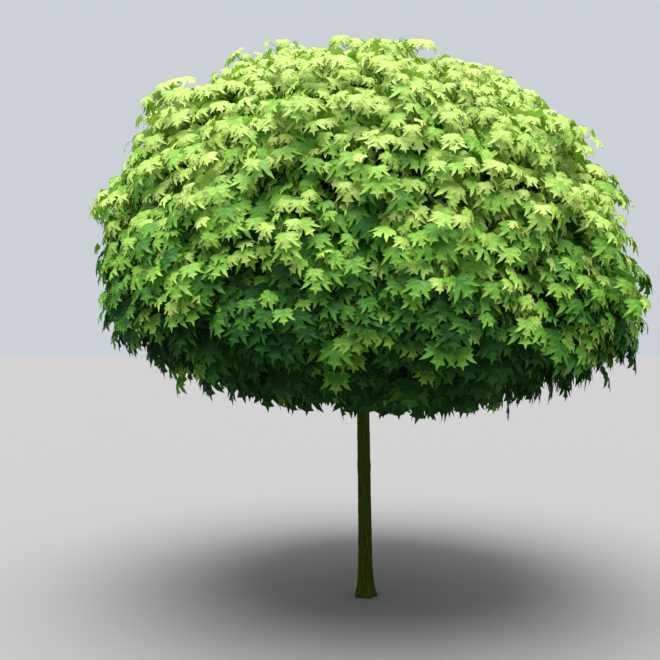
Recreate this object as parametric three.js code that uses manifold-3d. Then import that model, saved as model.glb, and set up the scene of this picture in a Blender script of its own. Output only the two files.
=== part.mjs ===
// A globe maple: a slender straight stem, grafted at its head, that carries a wide dense crown.
// Millimetres, +Z up. The origin is the centre of the flat cut at ground level, and -Y is the front.
//
// The crown's outline is a squarish ellipsoid that hangs a little lower on its right. The boughs spread
// from the head like the ribs of a vase, and each one carries a mass of foliage. A mass keeps to its own
// space, a wedge of the crown seen from the crown's centre. Its one stem grows on from the bough, twigs
// fork from the stem to points spread evenly over the outline, and leaves hang from the end of each twig.
import * as THREE from "three";
import { mergeVertices } from "three/addons/utils/BufferGeometryUtils.js";
import Module from "manifold-3d";

const wasm = await Module();
wasm.setup();

// The crown's outline
const CROWN_RADIUS = 1540; // half its width at the widest level
const CROWN_RISE = 1415; // from the widest level up to the top
const CROWN_DROP = 640; // from the widest level down to the underside
const CROWN_CENTRE = new THREE.Vector3(0, 0, 1750); // the middle of the widest level
const CROWN_SLOPE = 0.053; // how far every part of it sinks, for each millimetre to the right
const SQUARENESS_ABOVE = 2.3; // of its upper half: 2 gives an ellipsoid, more gives fuller shoulders
const SQUARENESS_BELOW = 2.7; // of its lower half, which is flatter and has a fuller rim
const LUMPS = 0.018; // how far the outline swells and dips, as a share of its reach
const LUMP_TURN = THREE.MathUtils.degToRad(45); // turns them to where the real crown swells

// The stem that stands in the ground
const HEAD_HEIGHT = 1545; // top of the swollen head that the boughs spring from
const STEM_LEAN = -22; // how far the head stands to the left of the foot
const STEM_BEND = 1.3; // 1 leans evenly, more leans most near the head
const STEM_PROFILE = [
  // height above the ground, radius
  [0, 66],
  [35, 56],
  [110, 47],
  [260, 41.5],
  [480, 39.5],
  [715, 38.5],
  [765, 41],
  [815, 38.5],
  [1100, 37],
  [1235, 38.5],
  [1320, 47],
  [1385, 60],
  [1465, 61],
  [1515, 50],
  [HEAD_HEIGHT, 30],
];
const STEM_SIDES = 16;
const FLARE_LOBES = 5; // root buttresses at the foot
const FLARE_DEPTH = 0.13; // how far they stand out, as a share of the radius
const FLARE_HEIGHT = 200;

// The masses of foliage in rings round the crown, and where the bough of each leaves the head
const RINGS = [
  { name: "top", count: 1, polar: 0, turn: 0, headHeight: 1500, climb: 88 },
  { name: "shoulder", count: 5, polar: 55, turn: 18, headHeight: 1478, climb: 58 },
  { name: "skirt", count: 7, polar: 99, turn: -90, headHeight: 1400, climb: 18 },
];
const INNER_SHARE = 0.48; // a mass starts at this share of the crown's reach
const CORE_SHARES = [0.66, 0.87]; // its core fills its wedge between these, and leaves stand out of it
const STEM_SHARE = 0.78; // its stem ends here, inside the core
const CORE_DETAIL = 2; // subdivisions of the icosahedron that each core is shaped from
const CORE_ROUNDING = 24; // how sharply the core's sides meet
const CORE_DENTS = 0.06; // how uneven the core's surface is
const CORE_FLATNESS = 0.5; // 1 spreads a core's detail evenly, and less of it favours the rim
const HALVINGS = 30; // steps that close in on where a core meets the outline

// Limbs
const BOUGH_FOOT = 19; // radii
const BOUGH_TIP = 11.5;
const TWIG_FOOT = 11;
const TWIG_TIP = 7;
const BOUGH_SIDES = 6;
const BOUGH_STEPS = 4;
const BOUGH_BOW = [0.38, 0.3]; // how far it keeps its first and its last direction, as shares of its span
const CLEARANCE = 0.3; // between solids that meet
const WEDGE_GAP = 2; // from a mass to the side of its wedge
const LIMB_MARGIN = 3; // from leaves and twigs to a limb

// Twigs and leaves
const TWIGS = 84;
const UNDERSIDE_SHARE = 0.55; // how thickly the underside is set, beside the rest
const TWIG_REACH = [0.965, 1.015]; // where ordinary twigs end, as shares of the crown's reach
const VIGOROUS = 0.07; // the share of twigs that run on past their neighbours
const VIGOROUS_REACH = 1.06;
const VIGOROUS_SLOPE = -0.1; // none of them hang lower than this slope
const FORK_LEAD = 0.8; // a twig forks this far below its end, for each millimetre that it goes aside
const FORK_RANGE = [0.12, 0.92]; // the stretch of the mass's stem that twigs fork from
const TWIG_BEND = [0.55, 0.1]; // where a twig bends, as a share of its length, and how far it bows outwards
const LEAF_LENGTH = 290; // larger than life, because each leaf stands for a spray
const LEAF_SPREAD = [0, 64, -64, 128, -128]; // degrees from straight down, round the twig's end
const LEAF_FEET = [14, 38]; // from the twig's end to the first leaf, and from each leaf to the next
const LEAF_TURN = 24; // degrees by which their directions vary
const DOWN_AND_OUT = 0.6; // leaves point down, and this much of the way outwards
const LEAF_LIFT = [0.1, 0.3]; // how far the leaves stand off the surface
const LEAF_DROP = new THREE.Vector3(0, 0, -0.35); // how far their tips hang
const LEAF_NOD = 0.25; // how far their faces tip towards the ground or the sky
const LEAF_GROWTH = [0.88, 1.12]; // how much their lengths vary
const LEAF_SIZES = [1, 0.8, 0.62]; // tried in turn until the leaf fits its space
const LEAF_SINK = 1; // how far a leaf's foot goes past the middle of its twig

const GOLDEN_ANGLE = Math.PI * (3 - Math.sqrt(5));
const BANDS = 180; // that the outline's area is added up in, from top to bottom

// A repeatable number from 0 to 1 for each twig or leaf and each use of it.
function chance(index, use) {
  const wave = Math.sin(index * 12.9898 + use * 78.233) * 43758.5453;
  return wave - Math.floor(wave);
}

// A repeatable number between the two ends of a range.
function between([low, high], index, use) {
  return low + (high - low) * chance(index, use);
}

// A direction on the sloping crown, from its angles on the level one.
function direction(polar, azimuth) {
  const across = Math.sin(polar) * Math.cos(azimuth);
  const aside = Math.sin(polar) * Math.sin(azimuth);
  return new THREE.Vector3(across, aside, Math.cos(polar) - CROWN_SLOPE * across).normalize();
}

// The same place on the level crown.
function levelled(point) {
  return point.clone().setZ(point.z + CROWN_SLOPE * point.x);
}

// The height and the squareness of the half of the level crown that a direction lies in.
function halfOf(d) {
  return d.z > 0 ? [CROWN_RISE, SQUARENESS_ABOVE] : [CROWN_DROP, SQUARENESS_BELOW];
}

// How far the outline lies from the crown's centre in a direction.
function crownReach(towards) {
  const d = levelled(towards);
  const [height, power] = halfOf(d);
  const across = Math.hypot(d.x, d.y) / CROWN_RADIUS;
  const along = Math.abs(d.z) / height;
  const smooth = (across ** power + along ** power) ** (-1 / power);
  const azimuth = Math.atan2(d.y, d.x);
  const polar = Math.acos(d.z / d.length());
  const swell = Math.sin(5 * azimuth + 3 * polar + LUMP_TURN) - Math.sin(3 * azimuth - 4 * polar);
  return smooth * (1 + LUMPS * Math.sin(polar) * swell);
}

// The way the outline faces in a direction from the centre.
function crownNormal(towards) {
  const d = levelled(towards).multiplyScalar(crownReach(towards));
  const [height, power] = halfOf(d);
  const h = Math.max(Math.hypot(d.x, d.y), 1);
  const across = (h / CROWN_RADIUS) ** (power - 1) / CROWN_RADIUS;
  const along = ((Math.abs(d.z) / height) ** (power - 1) / height) * Math.sign(d.z);
  return new THREE.Vector3((across * d.x) / h + CROWN_SLOPE * along, (across * d.y) / h, along).normalize();
}

// Directions to points spread evenly by area over the outline, on a golden-angle spiral from top to bottom.
function evenDirections(count) {
  const filled = [0];
  for (let k = 0; k < BANDS; k++) {
    const [above, below] = [k, k + 1].map((n) => {
      const polar = (Math.PI * n) / BANDS;
      return direction(polar, 0).multiplyScalar(crownReach(direction(polar, 0)));
    });
    const middle = direction((Math.PI * (k + 0.5)) / BANDS, 0);
    const radius = crownReach(middle) * Math.sin((Math.PI * (k + 0.5)) / BANDS);
    const weight = crownNormal(middle).z < -0.5 ? UNDERSIDE_SHARE : 1;
    filled.push(filled[k] + radius * above.distanceTo(below) * weight);
  }
  return Array.from({ length: count }, (_, i) => {
    const area = ((i + 0.5) / count) * filled[BANDS];
    const k = filled.findIndex((sum) => sum > area) - 1;
    const part = (area - filled[k]) / (filled[k + 1] - filled[k]);
    return direction((Math.PI * (k + part)) / BANDS, i * GOLDEN_ANGLE);
  });
}

// A closed geometry as a solid.
function solidOf(geometry) {
  const bare = geometry.clone();
  bare.deleteAttribute("normal");
  bare.deleteAttribute("uv");
  const merged = mergeVertices(bare, 1e-3);
  return new wasm.Manifold(
    new wasm.Mesh({
      numProp: 3,
      vertProperties: new Float32Array(merged.getAttribute("position").array),
      triVerts: new Uint32Array(merged.index.array),
    }),
  );
}

function meshOf(name, solid, material) {
  const made = solid.getMesh();
  const geometry = new THREE.BufferGeometry();
  geometry.setAttribute("position", new THREE.BufferAttribute(made.vertProperties, 3));
  geometry.setIndex(new THREE.BufferAttribute(made.triVerts, 1));
  geometry.computeVertexNormals();
  const mesh = new THREE.Mesh(geometry, material);
  mesh.name = name;
  return mesh;
}

// A limb along a curve: a cylinder's rings laid on it, each with its own radius.
function limb(curve, radiusAt, sides, steps) {
  const tube = new THREE.CylinderGeometry(1, 1, 1, sides, steps);
  const frames = curve.computeFrenetFrames(steps, false);
  const position = tube.getAttribute("position");
  for (let i = 0; i < position.count; i++) {
    const [x, z] = [position.getX(i), position.getZ(i)];
    const step = Math.round((position.getY(i) + 0.5) * steps);
    const radius = radiusAt(step / steps, Math.atan2(z, x));
    const point = curve
      .getPointAt(step / steps)
      .addScaledVector(frames.normals[step], x * radius)
      .addScaledVector(frames.binormals[step], -z * radius);
    position.setXYZ(i, ...point.toArray());
  }
  return tube;
}

function taper(foot, tip) {
  return (share) => foot + (tip - foot) * share;
}

// The ringed stem of the tree: each ring at its own height, lobed near the ground. extra widens it all round.
function stemSolid(extra) {
  const steps = STEM_PROFILE.length - 1;
  const tube = new THREE.CylinderGeometry(1, 1, 1, STEM_SIDES, steps);
  tube.rotateX(Math.PI / 2);
  const position = tube.getAttribute("position");
  for (let i = 0; i < position.count; i++) {
    const [height, radius] = STEM_PROFILE[Math.round((position.getZ(i) + 0.5) * steps)];
    const [x, y] = [position.getX(i), position.getY(i)];
    const flare = FLARE_DEPTH * Math.max(0, 1 - height / FLARE_HEIGHT) ** 2;
    const lobes = 1 + flare * Math.cos(FLARE_LOBES * Math.atan2(y, x));
    const top = height === HEAD_HEIGHT ? extra : 0;
    const wide = radius * lobes + extra;
    position.setXYZ(i, x * wide + stemCentre(height), y * wide, height + top);
  }
  return solidOf(tube);
}

// How far the stem's centre stands from the foot's, at a height.
function stemCentre(height) {
  return STEM_LEAN * (height / HEAD_HEIGHT) ** STEM_BEND;
}

// The masses: the middle direction of each, and where it starts.
const masses = RINGS.flatMap((ring) =>
  Array.from({ length: ring.count }, (_, k) => {
    const azimuth = THREE.MathUtils.degToRad(ring.turn + (360 * k) / ring.count);
    const middle = direction(THREE.MathUtils.degToRad(ring.polar), azimuth);
    const reach = crownReach(middle);
    return {
      name: ring.count > 1 ? `${ring.name}_${k + 1}` : ring.name,
      ring,
      azimuth,
      middle,
      reach,
      start: CROWN_CENTRE.clone().addScaledVector(middle, reach * INNER_SHARE),
    };
  }),
);

// The sides of a mass's wedge: planes through the crown's centre, halfway to each other mass.
function wedgeSides(mass) {
  return masses
    .filter((other) => other !== mass)
    .map((other) => mass.middle.clone().sub(other.middle).normalize());
}

function insideWedge(mass, point, margin) {
  const from = point.clone().sub(CROWN_CENTRE);
  return mass.sides.every((side) => from.dot(side) > margin);
}

for (const mass of masses) mass.sides = wedgeSides(mass);

// A bough leaves the head outwards and ends square to its mass's middle direction.
function boughCurve(mass) {
  const climb = THREE.MathUtils.degToRad(mass.ring.climb);
  const outwards = new THREE.Vector3(
    Math.cos(climb) * Math.cos(mass.azimuth),
    Math.cos(climb) * Math.sin(mass.azimuth),
    Math.sin(climb),
  );
  const root = new THREE.Vector3(stemCentre(mass.ring.headHeight), 0, mass.ring.headHeight);
  const span = root.distanceTo(mass.start);
  return new THREE.CubicBezierCurve3(
    root,
    root.clone().addScaledVector(outwards, span * BOUGH_BOW[0]),
    mass.start.clone().addScaledVector(mass.middle, -span * BOUGH_BOW[1]),
    mass.start,
  );
}

const stem = stemSolid(0);
const stemSpace = stemSolid(CLEARANCE);
for (const mass of masses) {
  const curve = boughCurve(mass);
  const tube = solidOf(limb(curve, taper(BOUGH_FOOT, BOUGH_TIP), BOUGH_SIDES, BOUGH_STEPS));
  const wide = (extra) => taper(BOUGH_FOOT + extra, BOUGH_TIP + extra);
  mass.bough = tube.subtract(stemSpace);
  mass.boughSpace = solidOf(limb(curve, wide(LIMB_MARGIN), BOUGH_SIDES, BOUGH_STEPS));
}
const limbSpace = masses.reduce((sum, mass) => sum.add(mass.boughSpace), stemSolid(LIMB_MARGIN));

// How far a point may go from the core's centre in a direction before it meets each side of its space.
function coreLimits(mass, centre, towards) {
  const from = centre.clone().sub(CROWN_CENTRE);
  const planes = mass.sides.map((normal) => [normal, WEDGE_GAP]);
  planes.push([mass.middle, mass.reach * CORE_SHARES[0]]);
  const limits = planes
    .filter(([normal]) => towards.dot(normal) < -1e-6)
    .map(([normal, offset]) => (from.dot(normal) - offset) / -towards.dot(normal));
  let [near, far] = [0, 2 * CROWN_RADIUS];
  for (let i = 0; i < HALVINGS; i++) {
    const half = (near + far) / 2;
    const point = from.clone().addScaledVector(towards, half);
    const inside = point.length() < CORE_SHARES[1] * crownReach(point.clone().normalize());
    [near, far] = inside ? [half, far] : [near, half];
  }
  return [...limits, near];
}

// The dense middle of a mass: a lump that fills the inside of its wedge with rounded sides.
function coreSolid(mass, massIndex) {
  const share = (CORE_SHARES[0] + CORE_SHARES[1]) / 2;
  const centre = CROWN_CENTRE.clone().addScaledVector(mass.middle, mass.reach * share);
  const ball = new THREE.IcosahedronGeometry(1, CORE_DETAIL).deleteAttribute("uv").deleteAttribute("normal");
  const lump = mergeVertices(ball, 1e-3);
  const position = lump.getAttribute("position");
  for (let i = 0; i < position.count; i++) {
    const towards = new THREE.Vector3().fromBufferAttribute(position, i);
    towards.addScaledVector(mass.middle, (CORE_FLATNESS - 1) * towards.dot(mass.middle)).normalize();
    const limits = coreLimits(mass, centre, towards);
    const sum = limits.reduce((total, limit) => total + limit ** -CORE_ROUNDING, 0);
    const dent = 1 - CORE_DENTS * chance(i, massIndex);
    const point = centre.clone().addScaledVector(towards, dent * sum ** (-1 / CORE_ROUNDING));
    position.setXYZ(i, ...point.toArray());
  }
  return solidOf(lump).subtract(limbSpace);
}

// A twig arches from its mass's stem to its own point near the outline.
function twigCurve(mass, target) {
  const stemLength = mass.reach * (STEM_SHARE - INNER_SHARE);
  const from = target.clone().sub(mass.start);
  const forward = from.dot(mass.middle);
  const aside = Math.sqrt(Math.max(0, from.lengthSq() - forward ** 2));
  const [lowest, highest] = FORK_RANGE.map((share) => share * stemLength);
  const forkAt = THREE.MathUtils.clamp(forward - FORK_LEAD * aside, lowest, highest);
  const fork = mass.start.clone().addScaledVector(mass.middle, forkAt);
  const bow = TWIG_BEND[1] * fork.distanceTo(target);
  const bend = fork.clone().lerp(target, TWIG_BEND[0]).addScaledVector(mass.middle, bow);
  return new THREE.QuadraticBezierCurve3(fork, bend, target);
}

// Half of a leaf's outline, across and along from its foot: side lobe, notch and tip.
const LEAF_OUTLINE = [
  [0, 0],
  [0.55, 0.3],
  [0.2, 0.46],
  [0, 1],
];
const LEAF_HEART = 0.3; // where its ribs meet, and it is thickest
const LEAF_THICKNESS = 0.026;
const LEAF_DROOP = 0.16; // how far the lobes hang below the heart

// A leaf of length 1 as a closed blade: a lobed outline with a low point above and one below it.
function leafBlade() {
  const other = LEAF_OUTLINE.slice(1, -1).reverse();
  const rim = [...LEAF_OUTLINE, ...other.map(([x, y]) => [-x, y])];
  const points = rim.map(([x, y]) => [x, y, -LEAF_DROOP * (x * x + (y - LEAF_HEART) ** 2)]);
  const above = points.push([0, LEAF_HEART, LEAF_THICKNESS / 2]) - 1;
  const below = points.push([0, LEAF_HEART, -LEAF_THICKNESS / 2]) - 1;
  const faces = rim.flatMap((_, i) => {
    const next = (i + 1) % rim.length;
    return [above, i, next, below, next, i];
  });
  const blade = new THREE.BufferGeometry();
  blade.setAttribute("position", new THREE.Float32BufferAttribute(points.flat(), 3));
  blade.setIndex(faces);
  return blade;
}
const BLADE = leafBlade();

// A leaf that hangs from a twig: its tip points along hang, and its face looks along face.
function leafGeometry(foot, hang, face, length) {
  const along = hang.clone().normalize();
  const across = new THREE.Vector3().crossVectors(along, face).normalize();
  const out = new THREE.Vector3().crossVectors(across, along);
  const place = new THREE.Matrix4().makeBasis(across, along, out);
  place.scale(new THREE.Vector3(length, length, length));
  place.setPosition(foot.clone().addScaledVector(along, -LEAF_SINK));
  return BLADE.clone().applyMatrix4(place);
}

// The way down and out over the crown's surface at a point that faces along normal.
function downhill(point, normal) {
  const outwards = point.clone().sub(CROWN_CENTRE).setZ(0).normalize();
  const pull = new THREE.Vector3(0, 0, -1).addScaledVector(outwards, DOWN_AND_OUT);
  return pull.addScaledVector(normal, -pull.dot(normal)).normalize();
}

// The leaves of one twig, each at the first size that fits its mass.
function leavesOf(mass, curve, target, normal, index) {
  const down = downhill(target, normal);
  const leaves = [];
  LEAF_SPREAD.forEach((spread, k) => {
    const turn = THREE.MathUtils.degToRad(spread + between([-LEAF_TURN / 2, LEAF_TURN / 2], index, 10 + k));
    const foot = curve.getPointAt(1 - (LEAF_FEET[0] + k * LEAF_FEET[1]) / curve.getLength());
    const hang = down.clone().applyAxisAngle(normal, turn);
    hang.addScaledVector(normal, between(LEAF_LIFT, index, 20 + k)).add(LEAF_DROP);
    const face = normal.clone().addScaledVector(down, between([-LEAF_NOD, LEAF_NOD], index, 30 + k));
    const length = LEAF_LENGTH * between(LEAF_GROWTH, index, 40 + k);
    for (const size of LEAF_SIZES) {
      const blade = leafGeometry(foot, hang, face, length * size);
      const solid = solidOf(blade);
      if (!fits(mass, blade) || !solid.intersect(mass.filled).isEmpty()) continue;
      leaves.push(solid);
      mass.filled = mass.filled.add(solid);
      return;
    }
  });
  return leaves;
}

// Whether a twig or leaf keeps to its mass's wedge and clear of every limb.
function fits(mass, geometry) {
  const position = geometry.getAttribute("position");
  const point = new THREE.Vector3();
  for (let i = 0; i < position.count; i++)
    if (!insideWedge(mass, point.fromBufferAttribute(position, i), WEDGE_GAP)) return false;
  return solidOf(geometry).intersect(limbSpace).isEmpty();
}

// Joins a mass's pieces and keeps the one body that its stem is in.
function joined(parts) {
  const whole = parts.reduce((sum, part) => sum.add(part));
  return whole.decompose().sort((a, b) => b.volume() - a.volume())[0];
}

masses.forEach((mass, massIndex) => {
  mass.core = coreSolid(mass, massIndex);
  mass.filled = mass.core;
  mass.parts = [];
});
evenDirections(TWIGS).forEach((towards, index) => {
  const nearer = (one, other) => (other.middle.dot(towards) > one.middle.dot(towards) ? other : one);
  const mass = masses.reduce(nearer);
  const vigorous = chance(index, 8) < VIGOROUS && towards.z > VIGOROUS_SLOPE;
  const reach = crownReach(towards) * (vigorous ? VIGOROUS_REACH : between(TWIG_REACH, index, 2));
  const target = CROWN_CENTRE.clone().addScaledVector(towards, reach);
  const normal = crownNormal(towards);
  const curve = twigCurve(mass, target);
  const twig = limb(curve, taper(TWIG_FOOT, TWIG_TIP), 3, 2);
  if (!fits(mass, twig)) return;
  const leaves = leavesOf(mass, curve, target, normal, index);
  if (leaves.length) mass.parts.push(solidOf(twig), ...leaves);
});

const bark = new THREE.MeshStandardMaterial({ color: 0x4a4726, roughness: 0.92, metalness: 0 });
const youngBark = new THREE.MeshStandardMaterial({ color: 0x5a4d30, roughness: 0.88, metalness: 0 });
const foliage = new THREE.MeshStandardMaterial({ color: 0x6ea23c, roughness: 0.55, metalness: 0 });

const tree = new THREE.Group();
tree.name = "globe_maple";
tree.add(meshOf("trunk", stem, bark));
masses.forEach((mass) => {
  tree.add(meshOf(`bough_${mass.name}`, mass.bough, youngBark));
  const first = mass.start.clone().addScaledVector(mass.middle, CLEARANCE);
  const last = CROWN_CENTRE.clone().addScaledVector(mass.middle, mass.reach * STEM_SHARE);
  const massStem = limb(new THREE.LineCurve3(first, last), taper(BOUGH_TIP, TWIG_FOOT), BOUGH_SIDES, 1);
  const parts = [mass.core, solidOf(massStem), ...mass.parts];
  tree.add(meshOf(`foliage_${mass.name}`, joined(parts), foliage));
});

export default tree;
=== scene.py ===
# %% [markdown]
# # A globe maple, from its frame to its last leaf
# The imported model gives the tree's fixed frame: a trunk, thirteen boughs and thirteen masses of foliage, in
# metres, with +Z up and the origin at the centre of the trunk's foot. Each of them is replaced here by
# finer pieces in the same place. A note says what a step is on the real tree and why it is made this way,
# and the cell after it makes the thing and prints what came out.

# %% Load the frame
import math

import bpy
import numpy as np
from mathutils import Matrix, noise


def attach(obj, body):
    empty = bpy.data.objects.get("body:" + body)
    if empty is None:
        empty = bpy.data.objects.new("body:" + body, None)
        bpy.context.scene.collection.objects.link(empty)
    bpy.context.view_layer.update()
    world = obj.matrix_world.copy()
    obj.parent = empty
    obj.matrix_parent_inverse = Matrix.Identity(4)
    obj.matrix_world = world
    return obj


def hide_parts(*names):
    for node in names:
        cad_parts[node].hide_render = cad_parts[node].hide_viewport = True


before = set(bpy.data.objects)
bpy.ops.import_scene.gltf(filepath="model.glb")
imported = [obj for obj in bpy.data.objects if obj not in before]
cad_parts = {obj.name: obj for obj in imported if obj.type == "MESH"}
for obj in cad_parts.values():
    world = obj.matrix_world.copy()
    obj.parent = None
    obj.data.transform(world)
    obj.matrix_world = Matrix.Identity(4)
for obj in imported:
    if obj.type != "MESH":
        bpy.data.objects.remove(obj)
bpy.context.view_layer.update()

# %% [markdown]
# ## Repeatable chance
# No two leaves of a tree hang alike, but the tree has to grow the same way each time the file runs. A sine
# whose decimals look random gives each twig and leaf its own fixed number, so nothing needs a seed or a
# stored list. The solids were grown with the same sine, and their twigs point the same ways as the coarsest
# ones here.

# %% A number from 0 to 1 for each twig or leaf and each use of it
INDEX_STEP = 12.9898
USE_STEP = 78.233
WAVE_HEIGHT = 43758.5453
# The number of a level of twigs, or of a leaf on its twig, is added to the number of a use.
USES = {
    "twig reach": 2, "spray tint": 3, "unfolding": 4, "leaf foot": 5, "shoot turn": 6, "vigour": 8,
    "tuft": 9, "leaf turn": 10, "painted light": 11, "leaf forward": 20, "leaf drop": 25, "leaf twist": 30,
    "leaf length": 40, "stalk length": 50, "leaf droop": 60, "leaf fold": 70, "leaf curl": 80,
    "leaf tint": 90,
}


def chance(index, use, member=0):
    place = np.asarray(index) * INDEX_STEP + (USES[use] + np.asarray(member)) * USE_STEP
    wave = np.sin(place) * WAVE_HEIGHT
    return wave - np.floor(wave)


def between(span, index, use, member=0):
    low, high = span
    return low + (high - low) * chance(index, use, member)


print("three chances:", np.round(chance([1, 2, 3], "vigour"), 3))

# %% [markdown]
# ## The crown's outline
# A globe maple is grafted on a straight stem and makes a wide, squat head with full shoulders and a flatter
# underside. An ellipsoid is too pointed for that. A superellipsoid, whose power is more than 2, has fuller
# shoulders, and a higher power below the widest level than above it keeps the rim full low down. The whole
# head hangs a little lower on its right, and slow waves make it swell and dip.

# %% The crown's size, and directions on it
CROWN_RADIUS = 1.54
CROWN_RISE = 1.415
CROWN_DROP = 0.64
CROWN_CENTRE = np.array([0.0, 0.0, 1.75])
CROWN_SLOPE = 0.053
SHORTEST = 1e-9


def unit(vectors):
    length = np.linalg.norm(vectors, axis=-1, keepdims=True)
    return vectors / np.maximum(length, SHORTEST)


def direction(polar, azimuth):
    """A direction on the sloping crown, from its angles on the level one."""
    polar, azimuth = np.broadcast_arrays(polar, azimuth)
    across = np.sin(polar) * np.cos(azimuth)
    aside = np.sin(polar) * np.sin(azimuth)
    return unit(np.stack([across, aside, np.cos(polar) - CROWN_SLOPE * across], axis=-1))


def levelled(points):
    """The same places on the level crown."""
    return points + np.array([0, 0, CROWN_SLOPE]) * points[..., :1]


print("straight to the right on the sloping crown:", np.round(direction(np.pi / 2, 0.0), 3))

# %% How far the outline lies from the crown's centre, and which way it faces
SQUARENESS_ABOVE = 2.3
SQUARENESS_BELOW = 2.7
LUMPS = 0.018
LUMP_TURN = math.radians(45)
# how many swells one wave has round the crown, and how far it turns on its way down
WAVES = ((5, 3), (3, -4))
NEAR_AXIS = 0.001
PLACES_ROUND = 72


def half_of(d):
    """The height and the squareness of the half of the level crown that each direction lies in."""
    above = d[..., 2] > 0
    return np.where(above, CROWN_RISE, CROWN_DROP), np.where(above, SQUARENESS_ABOVE, SQUARENESS_BELOW)


def crown_reach(towards):
    """How far the outline lies from the crown's centre in each direction."""
    d = levelled(towards)
    height, power = half_of(d)
    across = np.hypot(d[..., 0], d[..., 1]) / CROWN_RADIUS
    along = np.abs(d[..., 2]) / height
    smooth = (across**power + along**power) ** (-1 / power)
    azimuth = np.arctan2(d[..., 1], d[..., 0])
    polar = np.arccos(d[..., 2] / np.linalg.norm(d, axis=-1))
    first, second = (swells * azimuth + turns * polar for swells, turns in WAVES)
    return smooth * (1 + LUMPS * np.sin(polar) * (np.sin(first + LUMP_TURN) - np.sin(second)))


def crown_normal(towards):
    """Which way the smooth outline faces in each direction."""
    d = levelled(towards) * crown_reach(towards)[..., None]
    height, power = half_of(d)
    flat = np.maximum(np.hypot(d[..., 0], d[..., 1]), NEAR_AXIS)
    across = (flat / CROWN_RADIUS) ** (power - 1) / CROWN_RADIUS
    along = (np.abs(d[..., 2]) / height) ** (power - 1) / height * np.sign(d[..., 2])
    sideways = across * d[..., 0] / flat + CROWN_SLOPE * along
    return unit(np.stack([sideways, across * d[..., 1] / flat, along], axis=-1))


widest = crown_reach(direction(np.pi / 2, np.linspace(0, 2 * np.pi, PLACES_ROUND)))
print("crown radius at its widest level:", round(widest.min(), 3), "to", round(widest.max(), 3))

# %% [markdown]
# ## Points spread evenly over the crown
# Twigs fill the light evenly, so their ends are about as far apart everywhere on the outside. A
# golden-angle spiral does this on a globe. Here its steps down the crown follow the area of each band, so
# the flat underside doesn't crowd. The shaded underside gets fewer twigs, as on the real tree.

# %% Even directions, by area
GOLDEN_ANGLE = math.pi * (3 - math.sqrt(5))
BANDS = 180
UNDERSIDE_SHARE = 0.55
UNDERSIDE_FACES = -0.5


def even_directions(count):
    edges = direction(np.pi * np.arange(BANDS + 1) / BANDS, 0.0)
    edges = edges * crown_reach(edges)[:, None]
    polar = np.pi * (np.arange(BANDS) + 0.5) / BANDS
    middle = direction(polar, 0.0)
    weight = np.where(crown_normal(middle)[:, 2] < UNDERSIDE_FACES, UNDERSIDE_SHARE, 1.0)
    widths = np.linalg.norm(edges[1:] - edges[:-1], axis=1)
    filled = np.concatenate([[0], np.cumsum(crown_reach(middle) * np.sin(polar) * widths * weight)])
    area = (np.arange(count) + 0.5) / count * filled[-1]
    down = np.interp(area, filled, np.arange(BANDS + 1)) * np.pi / BANDS
    return direction(down, np.arange(count) * GOLDEN_ANGLE)


print("ten even directions reach down to", np.round(even_directions(10)[-1], 2))

# %% [markdown]
# ## Thirteen masses
# The head forks into ribs like those of a vase. One rises in the middle, five carry the shoulders and seven
# the skirt. What grows on each keeps to its own wedge of the crown, seen from the crown's centre. A wedge
# is the set of directions that are nearer to its own middle than to any other, so one dot product tells
# whose a twig is.

# %% Where each mass lies, and where its bough ends
HEAD_HEIGHT = 1.545
STEM_LEAN = -0.022
LEAN_POWER = 1.3
INNER_SHARE = 0.48
STEM_SHARE = 0.78
# name, how many, degrees from straight up, degrees round, height of the fork, degrees of climb
RINGS = [("top", 1, 0, 0, 1.5, 88), ("shoulder", 5, 55, 18, 1.478, 58), ("skirt", 7, 99, -90, 1.4, 18)]


def stem_centre(height):
    """The middle of the trunk at a height. It leans a little, more so higher up."""
    height = np.asarray(height, dtype=float)
    lean = STEM_LEAN * (np.maximum(height, 0) / HEAD_HEIGHT) ** LEAN_POWER
    return np.stack([lean, 0 * height, height], axis=-1)


masses = []
for ring, count, polar, turn, fork_height, climb in RINGS:
    for k in range(count):
        azimuth = math.radians(turn + 360 * k / count)
        middle = direction(np.array(math.radians(polar)), azimuth)
        reach = float(crown_reach(middle))
        mass = {"name": f"{ring}_{k + 1}" if count > 1 else ring, "middle": middle}
        mass.update(azimuth=azimuth, climb=math.radians(climb), root=stem_centre(fork_height))
        mass["start"] = CROWN_CENTRE + middle * reach * INNER_SHARE
        mass["end"] = CROWN_CENTRE + middle * reach * STEM_SHARE
        masses.append(mass)
middles = np.array([mass["middle"] for mass in masses])


def mass_of(towards):
    return np.argmax(towards @ middles.T, axis=-1)


print(len(masses), "masses:", ", ".join(mass["name"] for mass in masses))

# %% [markdown]
# ## Limbs as rings on a curve
# Every limb, from a bough to a leaf's stalk, is a tube round a curve. A curve object with a bevel would do
# for one of them, but there are thousands of twigs, so all their rings are worked out at once with arrays,
# as plain lists of points and triangles.

# %% Curves, and tubes round them
STEEP = 0.8


def bezier(points, shares):
    """Points on many Bezier curves at once: points has one curve for each row, shares one row or many."""
    rest = 1 - shares
    if len(points) == 3:
        weights = [rest**2, 2 * rest * shares, shares**2]
    else:
        weights = [rest**3, 3 * rest**2 * shares, 3 * rest * shares**2, shares**3]
    return sum(weight[..., None] * point[:, None, :] for weight, point in zip(weights, points))


def wall_faces(rings, sides):
    """The triangles between the rings of one tube."""
    ring, side = np.meshgrid(np.arange(rings - 1), np.arange(sides), indexing="ij")
    low, next_low = ring * sides + side, ring * sides + (side + 1) % sides
    high, next_high = low + sides, next_low + sides
    return np.stack([low, next_low, next_high, low, next_high, high], axis=-1).reshape(-1, 3)


def fan_faces(ring, tip):
    """The triangles from the points of one ring to a tip beyond it."""
    return np.stack([ring, np.roll(ring, -1), np.full(len(ring), tip)], axis=-1)


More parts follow.
